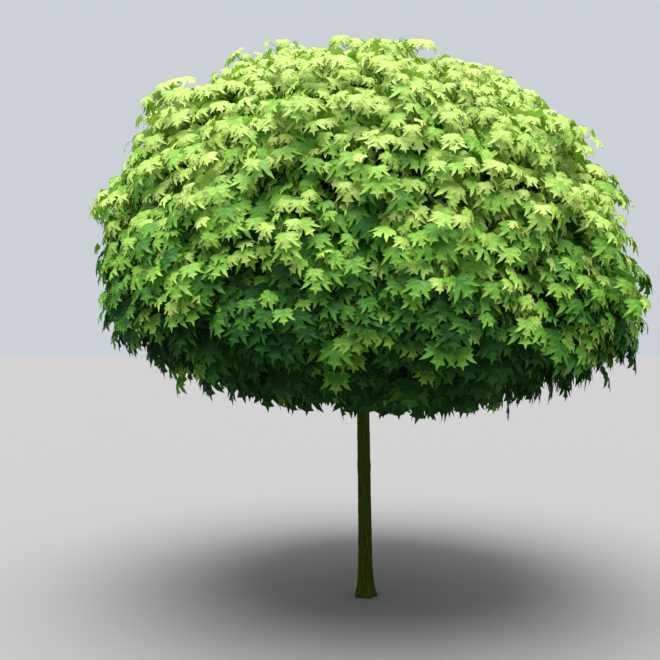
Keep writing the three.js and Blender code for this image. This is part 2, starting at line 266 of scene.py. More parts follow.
def tubes(lines, radii, sides):
    """Tubes round lines of shape (tubes, rings, 3), with radii (tubes, rings) or (tubes, rings, sides)."""
    count, rings = lines.shape[:2]
    heading = unit(np.gradient(lines, axis=1))
    helper = np.where(np.abs(heading[:, :1, 2:]) < STEEP, [[[0.0, 0.0, 1.0]]], [[[1.0, 0.0, 0.0]]])
    across = unit(np.cross(heading, np.broadcast_to(helper, heading.shape)))
    beside = np.cross(heading, across)
    angle = 2 * np.pi * np.arange(sides) / sides
    radii = radii if radii.ndim == 3 else radii[..., None]
    spokes = np.cos(angle)[:, None] * across[:, :, None] + np.sin(angle)[:, None] * beside[:, :, None]
    points = lines[:, :, None] + spokes * radii[..., None]
    tip = rings * sides
    faces = np.concatenate([wall_faces(rings, sides), fan_faces(np.arange(tip - sides, tip), tip)])
    tips = lines[:, -1] + heading[:, -1] * radii[:, -1, :1]
    points = np.concatenate([points.reshape(count, -1, 3), tips[:, None]], axis=1)
    offsets = np.arange(count)[:, None, None] * points.shape[1]
    return points.reshape(-1, 3), (faces[None] + offsets).reshape(-1, 3)


print("the wall of a tube of 4 rings and 3 sides has", len(wall_faces(4, 3)), "faces")

# %% [markdown]
# ## From arrays to a piece
# Each mass has more than a hundred twigs and a thousand leaves, which would be slow to handle as objects of
# their own. So they are joined into a few meshes. Each mesh rides on the tree's one body, stands for one
# node of the frame and takes its finish.

# %% A piece for a node of the frame


def piece(name, points, faces, materials, replaced, tints=None, smooth=True):
    mesh = bpy.data.meshes.new(name)
    mesh.from_pydata(points.tolist(), [], faces.tolist())
    for material in materials:
        mesh.materials.append(material)
    if tints is not None:
        mesh.polygons.foreach_set("material_index", tints.astype(np.int32))
    mesh.polygons.foreach_set("use_smooth", np.full(len(faces), smooth))
    mesh.update()
    made = bpy.data.objects.new(name, mesh)
    bpy.context.scene.collection.objects.link(made)
    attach(made, "root")
    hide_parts(replaced)
    print(name, "has", len(faces), "faces and stands for", replaced)


# %% [markdown]
# ## Bark
# The trunk's bark is olive brown, finely furrowed along the stem and greened by patches of algae. Its colours
# are set darker than the bark's own, as painted shade for the shade that the crown casts on the stem. The
# young wood of boughs and twigs is smoother and warmer. A picture of bark wrapped round a limb would need a
# seam and would repeat itself. So the colour comes from two noises in the tree's own space: one drawn out
# along the trunk for the furrows, and a broad one for the algae. They work from any side.

# %% Helpers for node trees
NOISE_ROUGHNESS = 0.6


def node_material(name, roughness, shine=0.1):
    material = bpy.data.materials.new(name)
    material.use_nodes = True
    shader = material.node_tree.nodes["Principled BSDF"]
    shader.inputs["Roughness"].default_value = roughness
    shader.inputs["Specular IOR Level"].default_value = shine
    return material, material.node_tree, shader


def add_node(tree, kind, **values):
    node = tree.nodes.new(kind)
    for key, value in values.items():
        node.inputs[key.replace("_", " ")].default_value = value
    return node


def stretched_noise(tree, stretch, scale, detail):
    """Noise in the tree's own space, drawn out by stretch."""
    place = tree.nodes.new("ShaderNodeTexCoord")
    mapping = add_node(tree, "ShaderNodeMapping", Scale=stretch)
    grain = add_node(tree, "ShaderNodeTexNoise", Scale=scale, Detail=detail, Roughness=NOISE_ROUGHNESS)
    tree.links.new(place.outputs["Object"], mapping.inputs["Vector"])
    tree.links.new(mapping.outputs["Vector"], grain.inputs["Vector"])
    return grain.outputs["Fac"]


def add_relief(tree, shader, height, strength, distance):
    """Bump on the shader's surface, from a noise."""
    relief = add_node(tree, "ShaderNodeBump", Strength=strength, Distance=distance)
    tree.links.new(height, relief.inputs["Height"])
    tree.links.new(relief.outputs["Normal"], shader.inputs["Normal"])


def ramp(tree, factor, stops):
    """Colours that change along a factor, from stops of (place, colour)."""
    node = tree.nodes.new("ShaderNodeValToRGB")
    marks = node.color_ramp.elements
    for place, _ in stops[1:-1]:
        marks.new(place)
    for mark, (place, colour) in zip(marks, stops):
        mark.position = place
        mark.color = (*colour, 1)
    tree.links.new(factor, node.inputs["Fac"])
    return node.outputs["Color"]


print("materials so far:", len(bpy.data.materials))

# %% Bark materials
BARK_ROUGHNESS = 0.85
BARK_SHINE = 0.03
FURROW_DETAIL = 8
ALGAE_STRETCH = (1, 1, 0.6)
ALGAE_SCALE = 7
ALGAE_DETAIL = 4
ALGAE_BLEND = 0.25
BARK_RELIEF = 0.002
# the trunk's wood and algae colours are set darker than its own olive bark, as painted shade from the crown
SHADED_TRUNK_WOOD = [(0.3, (0.012, 0.016, 0.0015)), (0.48, (0.038, 0.055, 0.004)), (0.7, (0.095, 0.115, 0.025))]
YOUNG_WOOD = [(0.3, (0.05, 0.036, 0.018)), (0.5, (0.11, 0.085, 0.045)), (0.7, (0.19, 0.15, 0.09))]
SHADED_TRUNK_ALGAE = (0.045, 0.08, 0.005)
YOUNG_ALGAE = (0.08, 0.09, 0.03)


def bark_material(name, wood, algae, stretch, scale, algae_from, bump):
    material, tree, shader = node_material(name, BARK_ROUGHNESS, BARK_SHINE)
    furrows = stretched_noise(tree, stretch, scale, FURROW_DETAIL)
    patchy = stretched_noise(tree, ALGAE_STRETCH, ALGAE_SCALE, ALGAE_DETAIL)
    patches = add_node(tree, "ShaderNodeMapRange", From_Min=algae_from, From_Max=algae_from + ALGAE_BLEND)
    mix = tree.nodes.new("ShaderNodeMix")
    mix.data_type = "RGBA"
    tree.links.new(patchy, patches.inputs["Value"])
    tree.links.new(patches.outputs["Result"], mix.inputs["Factor"])
    tree.links.new(ramp(tree, furrows, wood), mix.inputs["A"])
    mix.inputs["B"].default_value = (*algae, 1)
    tree.links.new(mix.outputs["Result"], shader.inputs["Base Color"])
    add_relief(tree, shader, furrows, bump, BARK_RELIEF)
    return material


trunk_bark = bark_material(
    "trunk_bark", SHADED_TRUNK_WOOD, SHADED_TRUNK_ALGAE, stretch=(1, 1, 0.12), scale=110, algae_from=0.42, bump=0.7
)
bough_bark = bark_material(
    "bough_bark", YOUNG_WOOD, YOUNG_ALGAE, stretch=(1, 1, 0.5), scale=70, algae_from=0.55, bump=0.5
)
print("bark materials:", trunk_bark.name, bough_bark.name)

# %% [markdown]
# ## The trunk
# The trunk is a slim pole with a small knot at half its height, a foot that spreads into root buttresses,
# and a swollen head where the crown was grafted. Shallow furrows run up and down its bark and wander a
# little. Bump alone would not show in the outline, so the relief is real geometry: a fine tube whose radius
# follows noise that is drawn out along the trunk.

# %% The stem's thickness, from the foot to the graft
# height and radius in millimetres, the same as the solid's
STEM_PROFILE = [(0, 66), (35, 56), (110, 47), (260, 41.5), (480, 39.5), (715, 38.5), (765, 41), (815, 38.5)]
STEM_PROFILE += [(1100, 37), (1235, 38.5), (1320, 47), (1385, 60), (1465, 61), (1515, 50), (1545, 30)]
MM_IN_METRE = 1000
PROFILE_SAMPLES = 400
SMOOTHED_SAMPLES = 15


def stem_radius(height):
    """The profile with its corners rounded off."""
    heights, radii = np.array(STEM_PROFILE).T / MM_IN_METRE
    fine = np.linspace(0, HEAD_HEIGHT, PROFILE_SAMPLES)
    kernel = np.hanning(SMOOTHED_SAMPLES) / np.hanning(SMOOTHED_SAMPLES).sum()
    padded = np.pad(np.interp(fine, heights, radii), SMOOTHED_SAMPLES // 2, mode="edge")
    return np.interp(height, fine, np.convolve(padded, kernel, mode="valid"))


print("stem radius at 0.6 m:", stem_radius(0.6).round(4))

# %% The furrows of the bark
# metres deep, and the radius of the cylinder that the noise is taken on
FURROW_DEPTH = 0.0022
NOISE_RADIUS = 0.04
WANDER = 0.006
# scales of the noises, across the trunk and along it
WANDER_SCALE = (30, 9)
FURROW_SCALE = (120, 11)
GRAIN_SCALE = (330, 40)
FURROW_WEIGHT = 1.3
GRAIN_WEIGHT = 0.35
FURROW_FLOOR = 0.6


def bark_noise(x, y, height, scale):
    across, along = scale
    return noise.noise((x * across, y * across, height * along))


def furrow(angle, height):
    """How far the bark stands out at a place: long shallow furrows, and a finer grain between them."""
    x, y = NOISE_RADIUS * math.cos(angle), NOISE_RADIUS * math.sin(angle)
    wander = WANDER * bark_noise(x, y, height, WANDER_SCALE)
    long_ones = abs(bark_noise(x + wander, y - wander, height, FURROW_SCALE))
    grain = bark_noise(x, y, height, GRAIN_SCALE)
    return FURROW_WEIGHT * long_ones + GRAIN_WEIGHT * grain - FURROW_FLOOR


print("bark at the front, 1 m up:", round(FURROW_DEPTH * furrow(-math.pi / 2, 1.0), 5), "m")

# %% Trunk with flare, knot and furrowed bark
FLARE_LOBES = 5
FLARE_DEPTH = 0.13
FLARE_HEIGHT = 0.2
KNOT_HEIGHT = 0.765
KNOT_TALL = 0.022
KNOT_WIDE = 0.22
KNOT_TURN = 2.2
KNOT_RISE = 0.004
TRUNK_SIDES = 112
TRUNK_RINGS = 520

heights = np.linspace(0, HEAD_HEIGHT, TRUNK_RINGS)
angles = 2 * np.pi * np.arange(TRUNK_SIDES) / TRUNK_SIDES
flare = FLARE_DEPTH * np.maximum(0, 1 - heights / FLARE_HEIGHT) ** 2
lobes = 1 + flare[:, None] * np.cos(FLARE_LOBES * angles)
up_knot = ((heights[:, None] - KNOT_HEIGHT) / KNOT_TALL) ** 2
round_knot = (np.sin((angles + KNOT_TURN) / 2) / KNOT_WIDE) ** 2
bark_radius = stem_radius(heights)[:, None] * lobes + KNOT_RISE * np.exp(-up_knot - round_knot)
relief = np.array([[furrow(angle, height) for angle in angles] for height in heights])
bark_radius = bark_radius + FURROW_DEPTH * relief
trunk_points = stem_centre(heights)[:, None] + np.stack(
    [np.cos(angles) * bark_radius, np.sin(angles) * bark_radius, 0 * bark_radius], axis=-1
)
last = TRUNK_SIDES * TRUNK_RINGS
foot_cut = fan_faces(np.arange(TRUNK_SIDES), last)[:, [1, 0, 2]]
head_top = fan_faces(np.arange(last - TRUNK_SIDES, last), last + 1)
piece(
    "trunk_bark",
    np.concatenate([trunk_points.reshape(-1, 3), stem_centre([0, HEAD_HEIGHT])]),
    np.concatenate([wall_faces(TRUNK_RINGS, TRUNK_SIDES), foot_cut, head_top]),
    [trunk_bark],
    "trunk",
)
print("trunk radius with its bark:", bark_radius.min().round(4), "to", bark_radius.max().round(4))

# %% [markdown]
# ## The boughs
# Each bough leaves the head, sweeps outwards and then turns to the middle of its own mass, like the rib of
# a vase. Years of growth leave it slightly uneven, with a ring at each year's bud scar. A Bezier curve
# gives the sweep, and noise on the radius gives the unevenness.

# %% Thirteen boughs with bud-scar rings
BOUGH_FOOT = 0.019
BOUGH_TIP = 0.0115
BOUGH_BOW = (0.38, 0.3)
BOUGH_RINGS = 120
BOUGH_SIDES = 20
SCAR_SPACING = 0.14
SCAR_RISE = 0.07
SCAR_WIDTH = 0.045
UNEVENNESS = 0.12
# scales of the noise, over the whole limb and round it
UNEVEN_SCALE = 14
UNEVEN_ROUND = 1.5


def rough_radii(line, foot, tip, sides):
    """Radii of one limb that thins from foot to tip, with bud-scar rings and uneven bark."""
    shares = np.linspace(0, 1, len(line))
    along = np.concatenate([[0], np.cumsum(np.linalg.norm(np.diff(line, axis=0), axis=1))])
    scars = SCAR_RISE * np.exp(-(((along / SCAR_SPACING) % 1 - 0.5) / SCAR_WIDTH) ** 2)
    smooth = (foot + (tip - foot) * shares) * (1 + scars)
    turns = 2 * np.pi * np.arange(sides) / sides
    round_limb = [(UNEVEN_ROUND * math.cos(turn), UNEVEN_ROUND * math.sin(turn)) for turn in turns]
    uneven = [
        [noise.noise((UNEVEN_SCALE * x + across, UNEVEN_SCALE * y + beside, UNEVEN_SCALE * z))
         for across, beside in round_limb]
        for x, y, z in line
    ]
    return smooth[:, None] * (1 + UNEVENNESS * np.array(uneven))


def bough_curve(mass):
    """Out of the head at the bough's climb, and into its mass along the mass's middle."""
    out = np.array([math.cos(mass["azimuth"]), math.sin(mass["azimuth"]), 0.0]) * math.cos(mass["climb"])
    out[2] = math.sin(mass["climb"])
    span = np.linalg.norm(mass["start"] - mass["root"])
    leaving, arriving = BOUGH_BOW
    bends = [mass["root"] + out * span * leaving, mass["start"] - mass["middle"] * span * arriving]
    return [point[None] for point in (mass["root"], *bends, mass["start"])]


for mass in masses:
    line = bezier(bough_curve(mass), np.linspace(0, 1, BOUGH_RINGS)[None])[0]
    radii = rough_radii(line, BOUGH_FOOT, BOUGH_TIP, BOUGH_SIDES)
    points, faces = tubes(line[None], radii[None], BOUGH_SIDES)
    name, replaced = f"bark_{mass['name']}", f"bough_{mass['name']}"
    piece(name, points, faces, [bough_bark], replaced)

# %% [markdown]
# ## Twigs, from coarse to fine
# On the real tree a bough goes on as a stem inside its mass, the stem carries branchlets, and these carry
# the shoots that hold the leaves. The solids stop at the first level. The same rule is carried on here for
# two more: each level has its own even set of ends over the crown, and each end is fed by the nearest twig
# of the level before it in the same mass, from a fork that lies further back the further the end lies
# aside.
#
# A crown is not a smooth ball. The shoots that one twig feeds make a tuft, which stands out or stays back
# as a whole, its middle furthest out. A few vigorous shoots on top run on to the outline, the top grows a
# little more than the sides and leans to the left, and the shaded underside is lifted.

# %% Where the ends of a level lie
# how many twigs, their ends as shares of the crown's reach, radii in metres, bow, and how much tufts differ
LEVELS = [
    {"count": 84, "reach": (0.86, 0.91), "radii": (0.0075, 0.0042), "bow": 0.1, "tufts": 0},
    {"count": 420, "reach": (0.77, 0.85), "radii": (0.0042, 0.0026), "bow": 0.12, "tufts": 0},
    {"count": 1500, "reach": (0.93, 0.99), "radii": (0.0027, 0.0016), "bow": 0.14, "tufts": 0.07},
]
VIGOROUS = 0.06
VIGOROUS_REACH = 1.0
VIGOROUS_ABOVE = 0.5
TUFT_SPREAD = 0.1
TUFT_SAG = 1.0
UNDERSIDE_LIFT = 0.18
TOP_GROWTH = 0.02
TOP_LEAN = -0.05
OTHER_MASS = 100


def shares_of(number, index, towards):
    """How far the twigs of a level run, as shares of the crown's reach. Vigorous shoots run furthest."""
    share = between(LEVELS[number]["reach"], index, "twig reach", number)
    if number < len(LEVELS) - 1:
        return share
    vigorous = (chance(index, "vigour") < VIGOROUS) & (towards[:, 2] > VIGOROUS_ABOVE)
    return np.where(vigorous, VIGOROUS_REACH, share)


def even_ends(towards, outwards, share):
    """The ends of twigs, with the growth and the lean of the top and the lift of the underside."""
    growth = TOP_GROWTH * np.clip(outwards[:, 2], 0, 1)
    lift = UNDERSIDE_LIFT * np.clip(-outwards[:, 2], 0, 1) ** 3
    ends = CROWN_CENTRE + towards * (crown_reach(towards) * share * (1 + growth - lift))[:, None]
    ends[:, 0] += TOP_LEAN * np.clip(towards[:, 2], 0, 1)
    return ends


def nearest_twigs(ends, owner, parents):
    """Which twig of the level before is nearest to each end, of those in the same mass."""
    same = owner[:, None] == parents["owner"][None]
    apart = np.linalg.norm(ends[:, None] - parents["ends"][None], axis=2) + np.where(same, 0, OTHER_MASS)
    return np.argmin(apart, axis=1)


def in_tufts(share, size, towards, outwards, nearest, parents):
    """The shares again, with the shoots of each tuft further out or back."""
    tuft_towards = unit(parents["ends"][nearest] - CROWN_CENTRE)
    from_middle = np.clip(np.linalg.norm(towards - tuft_towards, axis=1) / TUFT_SPREAD, 0, 1)
    sag = 1 + TUFT_SAG * np.clip(-outwards[:, 2], 0, 1)
    return share * (1 + size * ((chance(nearest, "tuft") - 0.5) * sag - from_middle**2))


print("twigs in all levels:", sum(level["count"] for level in LEVELS))

# %% Grow three levels of twigs
FORK_LEAD = 0.8
FORK_RANGE = (0.12, 0.92)
BEND_AT = 0.55


def forks(base, ends):
    """Where each twig leaves the one that feeds it, whose curve is base."""
    length = np.linalg.norm(base[2] - base[0], axis=1)
    along = unit(base[2] - base[0])
    forward = np.einsum("ij,ij->i", ends - base[0], along)
    aside = np.linalg.norm(ends - base[0] - along * forward[:, None], axis=1)
    along_base = np.clip((forward - FORK_LEAD * aside) / length, *FORK_RANGE)
    return bezier(base, along_base[:, None])[:, 0]


def grow(number, parents):
    """One level of twigs on the level before."""
    level = LEVELS[number]
    towards = even_directions(level["count"])
    outwards = crown_normal(towards)
    index = np.arange(level["count"])
    owner = mass_of(towards)
    even_share = shares_of(number, index, towards)
    ends = even_ends(towards, outwards, even_share)
    nearest = nearest_twigs(ends, owner, parents)
    share = in_tufts(even_share, level["tufts"], towards, outwards, nearest, parents)
    ends = CROWN_CENTRE + (ends - CROWN_CENTRE) * (share / even_share)[:, None]
    fork = forks([points[nearest] for points in parents["curves"]], ends)
    span = np.linalg.norm(ends - fork, axis=1)
    bend = fork + BEND_AT * (ends - fork) + outwards * (level["bow"] * span)[:, None]
    grown = {"index": index, "owner": owner, "share": share, "ends": ends, "normals": outwards}
    return {**grown, "curves": [fork, bend, ends], "span": span}


starts = np.array([mass["start"] for mass in masses])
stops = np.array([mass["end"] for mass in masses])
twigs = {"owner": np.arange(len(masses)), "ends": stops, "curves": [starts, (starts + stops) / 2, stops]}
levels = []
for number in range(len(LEVELS)):
    twigs = grow(number, twigs)
    levels.append(twigs)
    span = twigs["span"].mean().round(3)
    print("level", number + 1, "has", len(twigs["index"]), "twigs, about", span, "m long")

# %% [markdown]
# ## Stems and twigs as meshes
# The stem of a mass is as uneven as its bough and sways a little. The twigs on it are so thin that smooth
# tubes of four to six sides do. One mesh for each mass keeps the scene light.

# %% Join the stem and the twigs of each mass
TWIG_SIDES = (6, 5, 4)
TWIG_STEPS = 6
STEM_SIDES = 14
STEM_RINGS = 60
STEM_SWAY = 0.02
SWAY_SCALE = 6
SWAY_APART = 9

twig_shares = np.linspace(0, 1, TWIG_STEPS + 1)[None]
stem_shares = np.linspace(0, 1, STEM_RINGS)[:, None]


def joined(parts):
    """Lists of (points, faces) as one."""
    points, faces, start = [], [], 0
    for part_points, part_faces in parts:
        points.append(part_points)
        faces.append(part_faces + start)
        start += len(part_points)
    return np.concatenate(points), np.concatenate(faces)


def stem_line(mass):
    """The middle of the stem that carries a mass."""
    line = mass["start"] + stem_shares * (mass["end"] - mass["start"])
    places = SWAY_SCALE * line
    sway = [[noise.noise(tuple(p)), noise.noise(tuple(p + SWAY_APART)), 0] for p in places]
    return line + STEM_SWAY * np.array(sway) * stem_shares


for number, mass in enumerate(masses):
    line = stem_line(mass)
    radii = rough_radii(line, BOUGH_TIP, LEVELS[0]["radii"][0], STEM_SIDES)
    parts = [tubes(line[None], radii[None], STEM_SIDES)]
    for level, grown, sides in zip(LEVELS, levels, TWIG_SIDES):
        mine = grown["owner"] == number
        lines = bezier([points[mine] for points in grown["curves"]], twig_shares)
        foot, tip = level["radii"]
        radii = np.broadcast_to(foot + (tip - foot) * twig_shares, lines.shape[:2])
        parts.append(tubes(lines, radii, sides))
    points, faces = joined(parts)
    name, replaced = f"twigs_{mass['name']}", f"foliage_{mass['name']}"
    piece(name, points, faces, [bough_bark], replaced)

# %% [markdown]
# ## One leaf
# The leaf is broad, with five pointed lobes and a few long teeth. Its ribs spread like fingers from the end
# of the stalk. The blade is pleated along them: it dips at a rib and rises between two, and its lobes droop.
# A flat card with a picture of a leaf would be cheaper, but its edge would blur and its back would be wrong.
# So each leaf is its own outline, in 32 faces. The leaves inside the crown, which hardly show, have 12.

# %% The outline and ribs of a leaf of length 1
# across, along, and height: ribs and lobe tips lie low, the bays between the lobes high
HALF_RIM = [
    (0.12, -0.07, 0.02), (0.38, -0.1, 0.0), (0.67, 0.09, -0.03), (0.38, 0.2, 0.03), (0.64, 0.35, 0.0),
    (0.5, 0.43, 0.01), (0.73, 0.78, -0.05), (0.43, 0.67, 0.01), (0.18, 0.46, 0.04), (0.2, 0.62, 0.02),
    (0.31, 0.77, -0.01), (0.08, 0.82, 0.01),
]
LOBE_RIB = (0.37, 0.35, -0.012)
# the number of the rim's first lobe tip, and of the bay beside the middle lobe
LOWER_TIP, UPPER_BAY = 2, 8
# the middle rib, from the end of the stalk to the tip
RIBS = [(0, 0, 0), (0, 0.25, -0.012), (0, 0.62, -0.01), (0, 1.05, -0.03)]
STALK_END, HEART, MIDDLE, TIP = 0, 1, 2, 3
INNER_RIM = [HALF_RIM[k] for k in (1, 2, 3, 6, 8)]


def mirrored(points):
    return [(-x, y, z) for x, y, z in points]


def leaf_template():
    right = [*HALF_RIM, LOBE_RIB]
    points = np.array([*RIBS, *right, *mirrored(right)])
    faces = []
    for first, flip in ((len(RIBS), False), (len(RIBS) + len(right), True)):
        rim = [first + k for k in range(len(HALF_RIM))]
        lobe = first + len(HALF_RIM)
        half = [(STALK_END, rim[k], rim[k + 1]) for k in range(LOWER_TIP)]
        half += [(STALK_END, rim[LOWER_TIP], lobe)]
        half += [(rim[k], rim[k + 1], lobe) for k in range(LOWER_TIP, UPPER_BAY)]
        half += [(rim[UPPER_BAY], HEART, lobe), (HEART, STALK_END, lobe), (HEART, rim[UPPER_BAY], MIDDLE)]
        half += [(rim[k], rim[k + 1], MIDDLE) for k in range(UPPER_BAY, len(rim) - 1)]
        half += [(rim[-1], TIP, MIDDLE)]
        faces += [face[::-1] for face in half] if flip else half
    return points, np.array(faces)


def inner_template():
    """The same leaf in twelve faces, for the dark inside of the crown."""
    rim = [RIBS[STALK_END], *INNER_RIM, RIBS[TIP], *mirrored(INNER_RIM[::-1])]
    faces = [(k, (k + 1) % len(rim), len(rim)) for k in range(len(rim))]
    return np.array([*rim, RIBS[HEART]]), np.array(faces)


leaf_points, leaf_faces = leaf_template()
inner_faces = inner_template()[1]
print("a leaf has", len(leaf_faces), "faces, and an inner leaf", len(inner_faces))

# %% [markdown]
# ## Leaf colours
# Young leaves at the top are a little lighter yellow green than older ones, but most of the step from the
# light yellow green on top to the deep green in the shade below is painted light and shade: the light greens
# stand for leaves in full light and the deep greens for leaves in shade. Painting each leaf for itself would
# need a picture of the whole crown. Instead six greens are set, and others between them make 21 tints, each a
# plain material that can be dealt out leaf by leaf. Light tints shine a little and deep ones hardly at all.
# One more material is the amber of leaves that are still unfolding. Leaves let some light through, so each
# material mixes a little translucent green into its satin surface. The fine net of veins is a small bump.

# %% Leaf materials
# from the lightest to the deepest, these greens stand mostly for painted light and painted shade on one leaf
# colour
LEAF_COLOURS = [
    (0.42, 0.555, 0.13), (0.265, 0.45, 0.066), (0.137, 0.322, 0.032),
    (0.068, 0.205, 0.024), (0.026, 0.105, 0.015), (0.011, 0.046, 0.01),
]
TINTS = 21
AMBER_COLOUR = (0.47, 0.49, 0.13)
LEAF_ROUGHNESS = 0.48
LIGHT_SHINE = 0.22
DEEP_SHINE = 0.04
TRANSLUCENCE = 0.16
GLOW_GREEN = 1.4
GLOW_BLUE = 0.6
VEIN_SCALE = 160
VEIN_DETAIL = 3
VEIN_BUMP = 0.25
VEIN_RELIEF = 0.001
STALK_COLOUR = (0.22, 0.2, 0.05)
STALK_ROUGHNESS = 0.5


def leaf_material(name, colour, shine):
    material, tree, shader = node_material(name, LEAF_ROUGHNESS, shine)
    shader.inputs["Base Color"].default_value = (*colour, 1)
    veins = stretched_noise(tree, (1, 1, 1), VEIN_SCALE, VEIN_DETAIL)
    add_relief(tree, shader, veins, VEIN_BUMP, VEIN_RELIEF)
    red, green, blue = colour
    glow_colour = (red, min(1, green * GLOW_GREEN), blue * GLOW_BLUE, 1)
    glow = add_node(tree, "ShaderNodeBsdfTranslucent", Color=glow_colour)
    mix = add_node(tree, "ShaderNodeMixShader", Fac=TRANSLUCENCE)
    tree.links.new(shader.outputs["BSDF"], mix.inputs[1])
    tree.links.new(glow.outputs["BSDF"], mix.inputs[2])
    tree.links.new(mix.outputs["Shader"], tree.nodes["Material Output"].inputs["Surface"])
    return material


steps = np.linspace(0, len(LEAF_COLOURS) - 1, TINTS)
channels = [np.interp(steps, np.arange(len(LEAF_COLOURS)), np.log(c)) for c in np.array(LEAF_COLOURS).T]
leaf_materials = []
for number, colour in enumerate(np.exp(np.array(channels)).T.tolist()):
    shine = LIGHT_SHINE + (DEEP_SHINE - LIGHT_SHINE) * number / (TINTS - 1)
    leaf_materials.append(leaf_material(f"leaf_painted_shading_{number}", colour, shine))
AMBER = len(leaf_materials)
leaf_materials.append(leaf_material("leaf_amber", AMBER_COLOUR, LIGHT_SHINE))
STALK = len(leaf_materials)
stalk_material, _, stalk_shader = node_material("leaf_stalk", STALK_ROUGHNESS)
stalk_shader.inputs["Base Color"].default_value = (*STALK_COLOUR, 1)
leaf_materials.append(stalk_material)
print("leaf materials:", len(leaf_materials))

# %% [markdown]
# ## Hanging the leaves
# Leaves stand in opposite pairs along a shoot, each pair turned a quarter from the one before. Their stalks
# spread out round the shoot and their blades hang from them, tips outwards and down, like the ribs of an
# umbrella. Pairs further back are older, with longer stalks and larger blades. Under the crown, where
# little light comes, every other leaf is missing. Leaves scattered over the outline would make an even
# fuzz, while those that hang from shoots make the tufts that the tree shows.
#
# Behind them the two coarser levels of twigs carry inner leaves, plainer and larger, which fill the gaps
# between the tufts; their deep green is painted shade for the dark inside the crown. Blades of neighbouring
# masses lap over each other, so that no seam shows, but every leaf's foot is on a twig of its own mass.

# %% The feet of the leaves
# which level of twigs carries the leaves, how many on each twig, the number that their chances start
# from, metres from the twig's tip to the first pair and from pair to pair, and whether they are inner leaves
LAYERS = [
    {"level": 2, "leaves": 8, "first": 0, "feet": (0.004, 0.036), "inner": False},
    {"level": 1, "leaves": 24, "first": 5000, "feet": (0.03, 0.026), "inner": True},
    {"level": 0, "leaves": 36, "first": 9000, "feet": (0.1, 0.026), "inner": True},
]
PAIR_SPACING = (0.7, 1.3)
NEAREST_FOOT = 0.25
BARE_BELOW = -0.35


def leaves_on(grown, count):
    """The twig of each leaf, and the leaf's number on it, where each twig has a count of leaves."""
    twig = np.repeat(grown["index"], count)
    k = np.tile(np.arange(count), len(grown["index"]))
    kept = (grown["normals"][twig][:, 2] > BARE_BELOW) | (k % 2 == 1)
    return twig[kept], k[kept]


def leaf_feet(grown, feet, twig, k, seed):
    """Where the leaves stand on their twigs, in pairs back from the tip."""
    first_pair, next_pair = feet
    back = first_pair + next_pair * (k // 2) * between(PAIR_SPACING, seed, "leaf foot")
    share = np.clip(1 - back / grown["span"][twig], NEAREST_FOOT, 1)
    return bezier([points[twig] for points in grown["curves"]], share[:, None])[:, 0]


print("outer leaves:", len(leaves_on(levels[2], LAYERS[0]["leaves"])[0]))

# %% The way each leaf turns
LEAF_TURN = math.radians(50)
SHOOT_RISE = 0.55
OUTWARD_TURN = 1.2
UPRIGHT = 0.95
LEAF_REACH = 0.62
LEAF_FORWARD = (0.1, 0.5)
LEAF_DROP = (0.7, 1.4)
FACE_ASIDE = 0.35
FACE_RISE = 0.2
FACE_TWIST = 0.7


def shoot_ways(grown, twig):
    """The way each shoot points, and how much the blades below the crown turn outwards."""
    normal = grown["normals"][twig]
    outwards = (grown["ends"][twig] - CROWN_CENTRE) * np.array([1, 1, 0])
    outwards = OUTWARD_TURN * (unit(outwards) * np.clip(-normal[:, 2:], 0, 1))
    return unit(normal + np.array([0, 0, SHOOT_RISE]) + outwards), outwards


def stalk_ways(shoot, seed, k):
    """Two ways across each leaf's shoot: the leaf's own, and one that all leaves of the shoot share."""
    helper = np.where(np.abs(shoot[:, 2:]) < UPRIGHT, [[0.0, 0.0, 1.0]], [[1.0, 0.0, 0.0]])
    across = unit(np.cross(shoot, helper))
    beside = np.cross(across, shoot)
    turn = np.pi * (k % 2) + np.pi / 2 * (k // 2) + 2 * np.pi * chance(seed, "shoot turn")
    turn = turn + LEAF_TURN * (chance(seed, "leaf turn", k) - 0.5)
    return across * np.cos(turn)[:, None] + beside * np.sin(turn)[:, None], across


def blade_axes(shoot, outwards, radial, across, seed, k):
    """The three axes of each blade: across it, along it to its tip, and up from its face."""
    hang = radial * LEAF_REACH + shoot * between(LEAF_FORWARD, seed, "leaf forward", k)[:, None]
    hang[:, 2] -= between(LEAF_DROP, seed, "leaf drop", k)
    along = unit(hang)
    face = shoot + FACE_ASIDE * radial + outwards
    face[:, 2] += FACE_RISE
    face = face + across * (FACE_TWIST * (chance(seed, "leaf twist", k) - 0.5))[:, None]
    sideways = unit(np.cross(along, face))
    return np.stack([sideways, along, np.cross(sideways, along)], axis=1)


shoots = shoot_ways(levels[2], levels[2]["index"])[0]
print("shoots that point up:", (shoots[:, 2] > 0).sum(), "of", len(shoots))

# %% Where each leaf hangs, and how large it is
STALK_LENGTH = (0.04, 0.07)
STALK_AGEING = 0.3
STALK_FORWARD = 0.6
STALK_RISE = np.array([0, 0, 0.2])
LEAF_LENGTH = (0.086, 0.106)
YOUNG_SIZE = 0.64
LEAF_AGEING = 0.14
SIDE_SIZE = 1.12
SHADE_GROWTH = 0.3
INNER_GROWTH = 1.6
OLDEST_OUTER = 3
OLDEST_INNER = 1
UNFOLDING = 0.07
UNFOLDING_LEAVES = 4
UNFOLDING_ABOVE = -0.2
UNFOLDING_SIZE = 0.7


